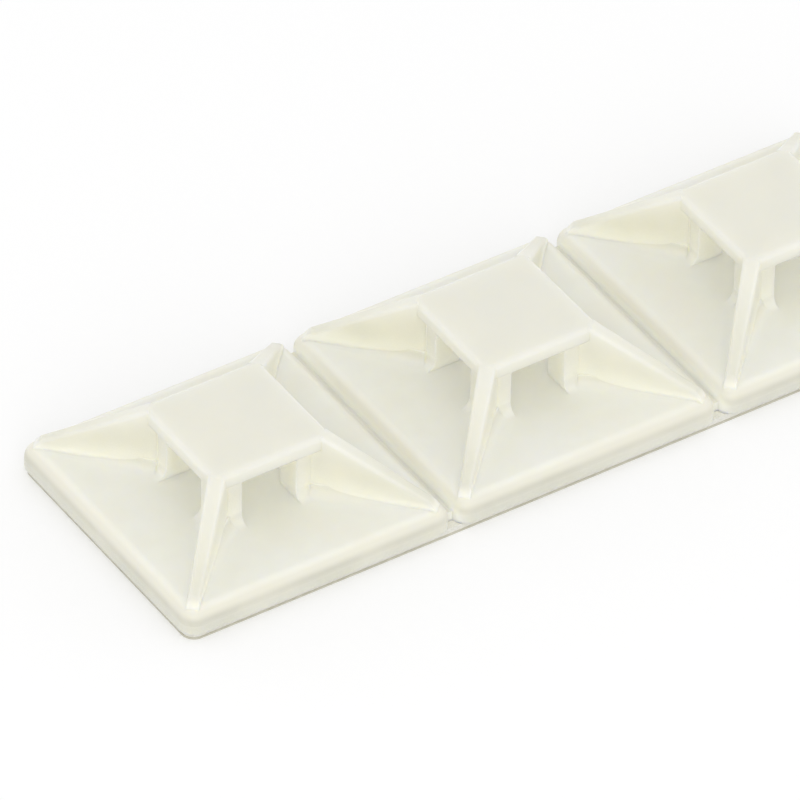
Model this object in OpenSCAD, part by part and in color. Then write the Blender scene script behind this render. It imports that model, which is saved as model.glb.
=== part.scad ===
// Snap-apart strip of square cable tie mounts with a stick-on back.
// X runs along the strip, Y across it, and Z up from the face that is stuck down.
// The origin is the middle of the strip's underside.

/* [Strip] */
// Number of mounts moulded in a row
mount_count = 3; // [1:1:6]
// Distance from one mount's middle to the next
pitch = 20; // [17:0.5:30]
// Width of the strip across its length
strip_depth = 20; // [17:0.5:30]
// Width of the gap at the foot of each snap line
snap_w = 0.4; // [0.2:0.05:1]
// Thickness of the web that is left under the snap line
snap_web_t = 0.75; // [0.4:0.05:0.9]
// How far the web stops short of the strip's two long sides
snap_web_inset = 0.9; // [0.2:0.05:2]

/* [Base plate] */
// Thickness of each mount's plate
plate_t = 1.65; // [1.3:0.05:2.6]
// Radius of the plate's four upright corners
plate_corner_r = 1.1; // [1.05:0.05:3]
// Radius rolled over the plate's top edges
plate_edge_r = 0.95; // [0.2:0.05:1]

/* [Platform] */
// Height of the moulding, from the plate's underside to the platform's top
mount_h = 6.25; // [4.8:0.05:9]
// Side of the square platform
platform_w = 8.6; // [7.5:0.1:11]
// Radius of the platform's four upright corners
platform_corner_r = 0.6; // [0.4:0.05:1.2]
// Radius rolled over the platform's top edges
platform_edge_r = 0.35; // [0.1:0.05:0.4]
// Thickness of the platform over the tie slots
platform_t = 1; // [0.7:0.05:1.5]
// How far the platform overhangs the four posts under it
platform_lip = 0.45; // [0.1:0.05:0.6]

/* [Corner ribs] */
// Thickness of a rib where it leaves the platform
rib_w = 1.1; // [0.9:0.05:1.8]
// Thickness of a rib at its outer end
rib_end_w = 0.8; // [0.7:0.05:0.9]
// Height of a rib's outer end over the plate
rib_end_h = 0.65; // [0.4:0.05:1.2]
// How far a rib stops short of the plate's sides
rib_end_gap = 0.75; // [0.5:0.05:2]
// Length of the steep end of a rib
rib_end_run = 0.5; // [0.3:0.05:1]
// Radius over the shoulder of that end
rib_end_r = 0.5; // [0.2:0.05:0.8]
// Radius along a rib's top edges
rib_edge_r = 0.25; // [0.1:0.05:0.3]
// Radius of the concave foot where ribs and posts stand on the plate
foot_r = 0.8; // [0.2:0.05:0.9]

/* [Tie slots] */
// Width of each slot, for ties up to 3.6 wide
slot_w = 4; // [3:0.1:5]
// Radius of the slot's two upper corners
slot_corner_r = 0.4; // [0.1:0.05:0.8]

/* [Adhesive back] */
// Thickness of the foam tape
tape_t = 0.4; // [0.2:0.05:1.5]
// How far the tape's edge lies inside the plate's edge
tape_inset = 0.3; // [0.2:0.05:0.8]
// Thickness of the release liner under the tape
liner_t = 0.1; // [0.1:0.05:0.3]
// How far the liner's edge lies inside the plate's edge
liner_inset = 0.2; // [0.1:0.05:0.8]

/* [Hidden] */
$fn = 48;

// Heights of the plate's two faces and of the platform's two faces
plate_z = liner_t + tape_t;
plate_top = plate_z + plate_t;
top_z = plate_z + mount_h;
slot_ceiling = top_z - platform_t;

mount_x = pitch - snap_w;
strip_length = mount_count * pitch - snap_w;
posts_w = platform_w - 2 * platform_lip;
// How far a cutting shape runs past what it cuts
past = 1;

// A rib runs straight from the platform's corner towards the corner of its own plate
rib_reach = [mount_x - platform_w, strip_depth - platform_w] / 2 - [rib_end_gap, rib_end_gap];
rib_length = norm(rib_reach);
rib_heading = atan2(rib_reach[1], rib_reach[0]);
// The slope of its top starts where the rib is as wide as the platform's corner, and its
// root reaches in under the platform to the post
rib_start = -rib_w / 2;
rib_root = rib_start - platform_lip * sqrt(2);
rib_shoulder = [rib_length - rib_end_run, plate_top + rib_end_h];
top_slope = atan2(top_z - rib_shoulder[1], rib_shoulder[0] - rib_start);
end_slope = atan2(rib_end_h, rib_end_run);
// Each side of a rib closes in by this angle, and each side of its foot by the next, so that
// the foot runs out where the rib ends
rib_taper = atan2((rib_w - rib_end_w) / 2, rib_length);
foot_taper = atan2((rib_w - rib_end_w) / 2 + foot_r, rib_length);

function down_slope(angle) = [cos(angle), -sin(angle)];

module at_each_mount() {
    for (i = [0 : mount_count - 1])
        translate([(i - (mount_count - 1) / 2) * pitch, 0, 0]) children();
}

module at_each_corner() {
    for (flip_x = [0, 1], flip_y = [0, 1])
        mirror([flip_x, 0, 0]) mirror([0, flip_y, 0]) children();
}

// What a shape and its mirror image across the XZ plane have in common
module same_on_both_sides() {
    intersection() {
        children();
        mirror([0, 1, 0]) children();
    }
}

// Extrusions centred on the origin, with the outline's second axis upright
module along_y(length) {
    translate([0, length / 2, 0]) rotate([90, 0, 0]) linear_extrude(length) children();
}

module along_x(length) {
    rotate([0, 0, 90]) along_y(length) children();
}

// Upright rectangle with its two top corners rounded
module eased_outline(width, low, high, r) {
    translate([-width / 2, low]) square([width, high - low - r]);
    translate([-width / 2 + r, low]) square([width - 2 * r, high - low]);
    for (side = [-1, 1])
        translate([side * (width / 2 - r), high - r]) intersection() {
            circle(r);
            translate([-r, 0]) square([2 * r, r]);
        }
}

// Plate with upright corners of one radius and its top edges rolled over by a smaller one
module eased_plate(length, depth, low, high, corner_r, edge_r) {
    along_y(depth - 2 * corner_r) eased_outline(length, low, high, edge_r);
    along_x(length - 2 * corner_r) eased_outline(depth, low, high, edge_r);
    at_each_corner()
        translate([length / 2 - corner_r, depth / 2 - corner_r, 0]) rotate_extrude()
            intersection() {
                eased_outline(2 * corner_r, low, high, edge_r);
                square([corner_r, high]);
            }
}

// Sheet as large as the strip, less an inset all round
module strip_sheet(thickness, inset) {
    r = plate_corner_r - inset;
    size = [strip_length, strip_depth] - 2 * [inset, inset];
    linear_extrude(thickness) {
        square(size - [2 * r, 0], center = true);
        square(size - [0, 2 * r], center = true);
        for (sx = [-1, 1], sy = [-1, 1])
            translate([sx * (size[0] / 2 - r), sy * (size[1] / 2 - r)]) circle(r);
    }
}

// Section through a wall's concave foot. The wall's face is the second axis, and the wall
// lies on its negative side.
module foot_outline(wall_w) {
    difference() {
        translate([-wall_w, plate_z]) square([wall_w + foot_r, plate_t + foot_r]);
        translate([foot_r, plate_top + foot_r]) circle(foot_r);
    }
}

// Side view of a rib: a straight slope, a rounded shoulder and a steep end
module rib_outline() {
    ease = rib_end_r * tan((end_slope - top_slope) / 2);
    ease_start = rib_shoulder - ease * down_slope(top_slope);
    ease_end = rib_shoulder + ease * down_slope(end_slope);
    polygon([
        [rib_root, plate_z], [rib_length, plate_z], [rib_length, plate_top],
        ease_end, ease_start, [rib_start, top_z], [rib_root, slot_ceiling]
    ]);
    translate(ease_start - rib_end_r * [sin(top_slope), cos(top_slope)]) circle(rib_end_r);
}

// Rib that narrows outwards, with rounded top edges along its slope, on its concave foot
module rib() {
    intersection() {
        along_y(2 * (rib_w + foot_r)) rib_outline();
        union() {
            same_on_both_sides()
                translate([0, rib_w / 2, top_z + rib_start * tan(top_slope)])
                    rotate([0, top_slope, -rib_taper])
                        along_x(3 * rib_length) translate([-rib_w, 0])
                            eased_outline(2 * rib_w, -2 * mount_h, 0, rib_edge_r);
            same_on_both_sides()
                translate([0, rib_w / 2, 0]) rotate([0, 0, -foot_taper])
                    along_x(3 * rib_length) foot_outline(2 * rib_w);
        }
    }
}

module corner_ribs() {
    at_each_corner()
        translate([platform_w / 2, platform_w / 2, 0]) rotate([0, 0, rib_heading]) rib();
}

// Platform on a block that the slots turn into four posts
module hub() {
    eased_plate(platform_w, platform_w, slot_ceiling, top_z, platform_corner_r, platform_edge_r);
    translate([-posts_w / 2, -posts_w / 2, plate_z])
        cube([posts_w, posts_w, slot_ceiling - plate_z]);
    for (turn = [0 : 90 : 270])
        rotate([0, 0, turn]) along_y(posts_w) translate([posts_w / 2, 0]) foot_outline(posts_w);
}

// Two passages for a tie, crossing under the platform, with their floor on the plate
module tie_slots() {
    reach = posts_w + 2 * (foot_r + past);
    along_y(reach) eased_outline(slot_w, plate_top, slot_ceiling, slot_corner_r);
    along_x(reach) eased_outline(slot_w, plate_top, slot_ceiling, slot_corner_r);
}

module mount() {
    difference() {
        union() {
            eased_plate(mount_x, strip_depth, plate_z, plate_top, plate_corner_r, plate_edge_r);
            hub();
            corner_ribs();
        }
        tie_slots();
    }
}

// The web that joins the mounts, one sheet that is hidden inside their plates
module snap_web() {
    size = [strip_length - 2 * plate_corner_r, strip_depth - 2 * snap_web_inset, snap_web_t];
    translate([-size[0] / 2, -size[1] / 2, plate_z]) cube(size);
}

module mount_strip() {
    color([0.93, 0.92, 0.87]) {
        at_each_mount() mount();
        snap_web();
    }
}

module foam_tape() {
    color([0.85, 0.85, 0.82]) translate([0, 0, liner_t]) strip_sheet(tape_t, tape_inset);
}

module release_liner() {
    color([0.80, 0.76, 0.66]) strip_sheet(liner_t, liner_inset);
}

mount_strip();
foam_tape();
release_liner();
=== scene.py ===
import math

import bpy
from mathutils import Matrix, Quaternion, Vector


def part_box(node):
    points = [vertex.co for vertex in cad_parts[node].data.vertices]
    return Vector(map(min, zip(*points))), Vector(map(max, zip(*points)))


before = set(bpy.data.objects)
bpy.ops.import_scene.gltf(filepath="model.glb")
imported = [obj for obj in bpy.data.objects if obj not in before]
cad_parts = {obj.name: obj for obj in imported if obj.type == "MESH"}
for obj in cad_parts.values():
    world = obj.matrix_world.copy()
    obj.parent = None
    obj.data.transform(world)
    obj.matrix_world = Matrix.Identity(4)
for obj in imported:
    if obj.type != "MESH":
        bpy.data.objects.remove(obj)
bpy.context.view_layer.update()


# The moulded strip: three square mounts shot as one piece of natural, uncoloured nylon, milky
# and slightly see-through. Each has a platform on four posts and ribs to its corners. The
# mould's finely spark-eroded walls leave a satin skin.
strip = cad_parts["mount_strip"]
strip_low, strip_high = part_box("mount_strip")
plate_thickness = 0.00165
plate_foot = strip_low.z
edge_middle = plate_foot + 0.0009
edge_roll = plate_foot + 0.0014
plate_top = plate_foot + plate_thickness
wall_foot = plate_top + 0.0007
platform_top = strip_high.z

# Painted light and shade by height: the plate's top is painted light and warm, a painted glow for light
# coming up through it from the white tape. Its edge is painted darker downwards, painted shade towards
# the table, and the thin walls and the platform over the hollow are painted greyer.
nylon_painted_light_by_height = [
    (plate_foot, (0.42, 0.41, 0.335)),
    (edge_middle, (0.65, 0.64, 0.55)),
    (edge_roll, (0.84, 0.825, 0.73)),
    (plate_top, (0.965, 0.945, 0.85)),
    (wall_foot, (0.69, 0.685, 0.607)),
    (platform_top, (0.785, 0.78, 0.715)),
]
cloud_tone = (0.84, 0.82, 0.72)
cloud_size = 0.004
cloud_share = 0.35
# Painted light: where ambient occlusion finds the slots and the feet sheltered, the nylon is painted
# lighter and yellower, standing in for light that goes through the milky walls
painted_recess_light_tone = (0.995, 0.985, 0.87)
shelter_reach = 0.004
fully_sheltered = 0.4
fully_open = 0.86
# How far light travels inside the nylon: little over the tape, more in the thin walls
light_travel_plate = 0.0004
light_travel_walls = 0.0018
travel_step = 0.0008
light_travel_by_colour = (1.0, 0.95, 0.75)
nylon_ior = 1.53

# The satin skin, with patches that are a little shinier, shallow sink marks and fine grain
noise_low = 0.3
noise_high = 0.7
satin_low = 0.36
satin_high = 0.46
satin_patch = 0.0015
sink_size = 0.0028
sink_depth = 0.00003
grain_size = 0.00016
grain_depth = 0.0000025
edge_softness = 0.00014


def new_material(name):
    material = bpy.data.materials.new(name)
    material.use_nodes = True
    return material, material.node_tree.nodes, material.node_tree.links


def surface_place(nodes):
    return nodes.new("ShaderNodeTexCoord").outputs["Object"]


def height_in(nodes, links, place):
    axes = nodes.new("ShaderNodeSeparateXYZ")
    links.new(place, axes.inputs["Vector"])
    return axes.outputs["Z"]


def noise(nodes, links, place, grain, detail, roughness=0.5):
    texture = nodes.new("ShaderNodeTexNoise")
    texture.inputs["Scale"].default_value = 1 / grain
    texture.inputs["Detail"].default_value = detail
    texture.inputs["Roughness"].default_value = roughness
    links.new(place, texture.inputs["Vector"])
    return texture.outputs["Fac"]


def spread(nodes, links, value, low, high, to_low, to_high, smooth=True):
    node = nodes.new("ShaderNodeMapRange")
    node.interpolation_type = "SMOOTHSTEP" if smooth else "LINEAR"
    node.inputs["From Min"].default_value = low
    node.inputs["From Max"].default_value = high
    node.inputs["To Min"].default_value = to_low
    node.inputs["To Max"].default_value = to_high
    links.new(value, node.inputs["Value"])
    return node.outputs["Result"]


def blend_colours(nodes, links, factor, first, second):
    mix = nodes.new("ShaderNodeMix")
    mix.data_type = "RGBA"
    for socket, colour in zip(("A_Color", "B_Color"), (first, second)):
        target = next(i for i in mix.inputs if i.identifier == socket)
        if isinstance(colour, tuple):
            target.default_value = (*colour, 1)
        else:
            links.new(colour, target)
    links.new(factor, mix.inputs[0])
    return next(o for o in mix.outputs if o.identifier == "Result_Color")


def colour_steps(nodes, links, value, steps):
    low, high = steps[0][0], steps[-1][0]
    ramp = nodes.new("ShaderNodeValToRGB")
    ramp.color_ramp.interpolation = "EASE"
    stops = ramp.color_ramp.elements
    stops[0].color = (*steps[0][1], 1)
    stops[1].color = (*steps[-1][1], 1)
    for level, colour in steps[1:-1]:
        stops.new((level - low) / (high - low)).color = (*colour, 1)
    share = spread(nodes, links, value, low, high, 0, 1, smooth=False)
    links.new(share, ramp.inputs["Fac"])
    return ramp.outputs["Color"]


def bump(nodes, links, height, depth, under=None):
    node = nodes.new("ShaderNodeBump")
    node.inputs["Strength"].default_value = 1
    node.inputs["Distance"].default_value = depth
    links.new(height, node.inputs["Height"])
    if under is not None:
        links.new(under, node.inputs["Normal"])
    return node.outputs["Normal"]


def colour_nylon(nodes, links, place, height, base_colour):
    # Painted light and shade by height, laid over the nylon's own colour
    tone = colour_steps(nodes, links, height, nylon_painted_light_by_height)
    clouds = noise(nodes, links, place, cloud_size, 3)
    clouded = spread(nodes, links, clouds, noise_low, noise_high, 0, cloud_share)
    tone = blend_colours(nodes, links, clouded, tone, cloud_tone)
    # Painted light in the recesses: the sheltered slots and feet are painted lighter and yellower
    shelter = nodes.new("ShaderNodeAmbientOcclusion")
    shelter.samples = 8
    shelter.inputs["Distance"].default_value = shelter_reach
    painted_recess_light = spread(nodes, links, shelter.outputs["AO"], fully_sheltered, fully_open, 1, 0)
    tone = blend_colours(nodes, links, painted_recess_light, tone, painted_recess_light_tone)
    links.new(tone, base_colour)


def finish_skin(nodes, links, place, roughness, normal):
    patches = noise(nodes, links, place, satin_patch, 2)
    satin = spread(nodes, links, patches, noise_low, noise_high, satin_low, satin_high)
    links.new(satin, roughness)
    soft_edge = nodes.new("ShaderNodeBevel")
    soft_edge.samples = 6
    soft_edge.inputs["Radius"].default_value = edge_softness
    sinks = noise(nodes, links, place, sink_size, 1)
    sunk = bump(nodes, links, sinks, sink_depth, soft_edge.outputs["Normal"])
    grain = noise(nodes, links, place, grain_size, 2)
    links.new(bump(nodes, links, grain, grain_depth, sunk), normal)


def make_nylon():
    material, nodes, links = new_material("natural_nylon")
    shader = nodes["Principled BSDF"]
    place = surface_place(nodes)
    height = height_in(nodes, links, place)
    colour_nylon(nodes, links, place, height, shader.inputs["Base Color"])
    finish_skin(nodes, links, place, shader.inputs["Roughness"], shader.inputs["Normal"])

    shader.inputs["IOR"].default_value = nylon_ior
    shader.inputs["Subsurface Weight"].default_value = 1
    shader.inputs["Subsurface Radius"].default_value = light_travel_by_colour
    travel = spread(
        nodes, links, height, plate_top, plate_top + travel_step, light_travel_plate, light_travel_walls
    )
    links.new(travel, shader.inputs["Subsurface Scale"])
    return material


strip.data.materials.clear()
strip.data.materials.append(make_nylon())


# The foam tape: closed-cell white foam with a tacky face on both sides, die-cut a little
# smaller than the plate. Only its cut edge shows, with the cells that the knife opened.
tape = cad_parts["foam_tape"]
cell_size = 0.00012
cell_depth = 0.000015
cell_hollow = 0.6
# Painted shade: the hollows of the opened cells are painted darker than the cell walls
painted_cell_shade_tone = (0.74, 0.73, 0.66)
cell_wall_tone = (0.84, 0.83, 0.77)
foam_roughness = 0.85


def make_foam():
    material, nodes, links = new_material("foam_tape")
    shader = nodes["Principled BSDF"]
    cells = nodes.new("ShaderNodeTexVoronoi")
    cells.inputs["Scale"].default_value = 1 / cell_size
    links.new(surface_place(nodes), cells.inputs["Vector"])
    # The cell hollows get painted shade, the cell walls stay lighter
    rise = spread(nodes, links, cells.outputs["Distance"], 0, cell_hollow, 0, 1)
    tone = blend_colours(nodes, links, rise, painted_cell_shade_tone, cell_wall_tone)
    links.new(tone, shader.inputs["Base Color"])
    links.new(bump(nodes, links, rise, cell_depth), shader.inputs["Normal"])
    shader.inputs["Roughness"].default_value = foam_roughness
    return material


tape.data.materials.clear()
tape.data.materials.append(make_foam())


# The release liner: smooth siliconised paper that protects the glue until the mount is
# stuck down, faintly fibrous and slightly glossy.
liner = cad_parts["release_liner"]
fibre_size = 0.0006
fibre_depth = 0.000008
fibre_detail = 6
fibre_tangle = 0.65
fibre_low = 0.35
fibre_high = 0.65
thin_paper_tone = (0.56, 0.54, 0.45)
thick_paper_tone = (0.64, 0.62, 0.53)
paper_roughness = 0.42
silicone_share = 0.25
silicone_roughness = 0.3


def make_liner():
    material, nodes, links = new_material("release_liner")
    shader = nodes["Principled BSDF"]
    fibre = noise(nodes, links, surface_place(nodes), fibre_size, fibre_detail, fibre_tangle)
    thickness = spread(nodes, links, fibre, fibre_low, fibre_high, 0, 1)
    tone = blend_colours(nodes, links, thickness, thin_paper_tone, thick_paper_tone)
    links.new(tone, shader.inputs["Base Color"])
    links.new(bump(nodes, links, fibre, fibre_depth), shader.inputs["Normal"])
    shader.inputs["Roughness"].default_value = paper_roughness
    shader.inputs["Coat Weight"].default_value = silicone_share
    shader.inputs["Coat Roughness"].default_value = silicone_roughness
    return material


liner.data.materials.clear()
liner.data.materials.append(make_liner())


# The table: a plain white matt top that keeps the soft shadow of the strip. What the camera
# sees of it is lifted to white, and that lift lights nothing.
table_size = 1.2
table_tone = (0.8, 0.8, 0.8)
table_lift = 0.231
table_half = table_size / 2
table_corners = [
    (-table_half, -table_half, 0),
    (table_half, -table_half, 0),
    (table_half, table_half, 0),
    (-table_half, table_half, 0),
]
table_mesh = bpy.data.meshes.new("table")
table_mesh.from_pydata(table_corners, [], [(0, 1, 2, 3)])
table = bpy.data.objects.new("table", table_mesh)
bpy.context.scene.collection.objects.link(table)


def rays_that_see(nodes, links):
    rays = nodes.new("ShaderNodeLightPath")
    seen = rays.outputs["Is Camera Ray"]
    for name in ("Is Glossy Ray", "Is Transmission Ray"):
        either = nodes.new("ShaderNodeMath")
        either.operation = "MAXIMUM"
        links.new(seen, either.inputs[0])
        links.new(rays.outputs[name], either.inputs[1])
        seen = either.outputs[0]
    return seen


def make_table_white():
    material, nodes, links = new_material("table_white")
    matt = nodes["Principled BSDF"]
    matt.inputs["Base Color"].default_value = (*table_tone, 1)
    matt.inputs["Roughness"].default_value = 1
    matt.inputs["Specular IOR Level"].default_value = 0
    lift = nodes.new("ShaderNodeEmission")
    seen_lift = spread(nodes, links, rays_that_see(nodes, links), 0, 1, 0, table_lift)
    links.new(seen_lift, lift.inputs["Strength"])
    both = nodes.new("ShaderNodeAddShader")
    links.new(matt.outputs[0], both.inputs[0])
    links.new(lift.outputs[0], both.inputs[1])
    links.new(both.outputs[0], nodes["Material Output"].inputs["Surface"])
    return material


table_mesh.materials.append(make_table_white())


# The light: a pale room whose walls are brighter than its ceiling, and one large soft lamp
# from the front left, low enough to shine into the slots. What looks past the table sees a
# plain white backdrop.
scene = bpy.context.scene
white = (1, 1, 1, 1)
wall_light = 1.16
wall_rise = 0.2
ceiling_light = 0.78
ceiling_rise = 0.9
lamp_place = (-0.28, -0.50, 0.34)
lamp_size = 0.45
lamp_power = 0.6


def make_room():
    world = bpy.data.worlds.new("room")
    world.use_nodes = True
    nodes, links = world.node_tree.nodes, world.node_tree.links
    room = nodes["Background"]
    room.inputs["Color"].default_value = white
    rise = height_in(nodes, links, nodes.new("ShaderNodeTexCoord").outputs["Generated"])
    strength = spread(nodes, links, rise, wall_rise, ceiling_rise, wall_light, ceiling_light)
    links.new(strength, room.inputs["Strength"])
    backdrop = nodes.new("ShaderNodeBackground")
    backdrop.inputs["Color"].default_value = white
    choose = nodes.new("ShaderNodeMixShader")
    links.new(rays_that_see(nodes, links), choose.inputs[0])
    links.new(room.outputs[0], choose.inputs[1])
    links.new(backdrop.outputs[0], choose.inputs[2])
    links.new(choose.outputs[0], nodes["World Output"].inputs["Surface"])
    return world


def make_front_lamp():
    data = bpy.data.lights.new("front_lamp", "AREA")
    data.shape = "DISK"
    data.size = lamp_size
    data.energy = lamp_power
    lamp = bpy.data.objects.new("front_lamp", data)
    lamp.location = lamp_place
    lamp.rotation_mode = "QUATERNION"
    lamp.rotation_quaternion = Vector(lamp_place).to_track_quat("Z", "Y")
    scene.collection.objects.link(lamp)


scene.world = make_room()
make_front_lamp()


# The camera: a long lens that looks down on the strip from its front left, held a little off
# level. Turn and rise give the direction in which it stands, seen from the strip.
view_turn = math.radians(-33.9)
view_rise = math.radians(40.1)
view_roll = math.radians(1.3)
view_distance = 0.8
view_target = Vector((-0.00588, 0.00284, 0))
lens_length = 571
sensor_width = 36
farthest_seen = 10
toward_camera = Vector((
    math.sin(view_turn) * math.cos(view_rise),
    -math.cos(view_turn) * math.cos(view_rise),
    math.sin(view_rise),
))
camera_data = bpy.data.cameras.new("camera")
camera_data.sensor_width = sensor_width
camera_data.lens = lens_length
camera_data.clip_end = farthest_seen
camera = bpy.data.objects.new("camera", camera_data)
camera.location = view_target + toward_camera * view_distance
camera.rotation_mode = "QUATERNION"
level_view = toward_camera.to_track_quat("Z", "Y")
camera.rotation_quaternion = level_view @ Quaternion((0, 0, 1), view_roll)
scene.collection.objects.link(camera)
scene.camera = camera
scene.view_settings.view_transform = "Standard"
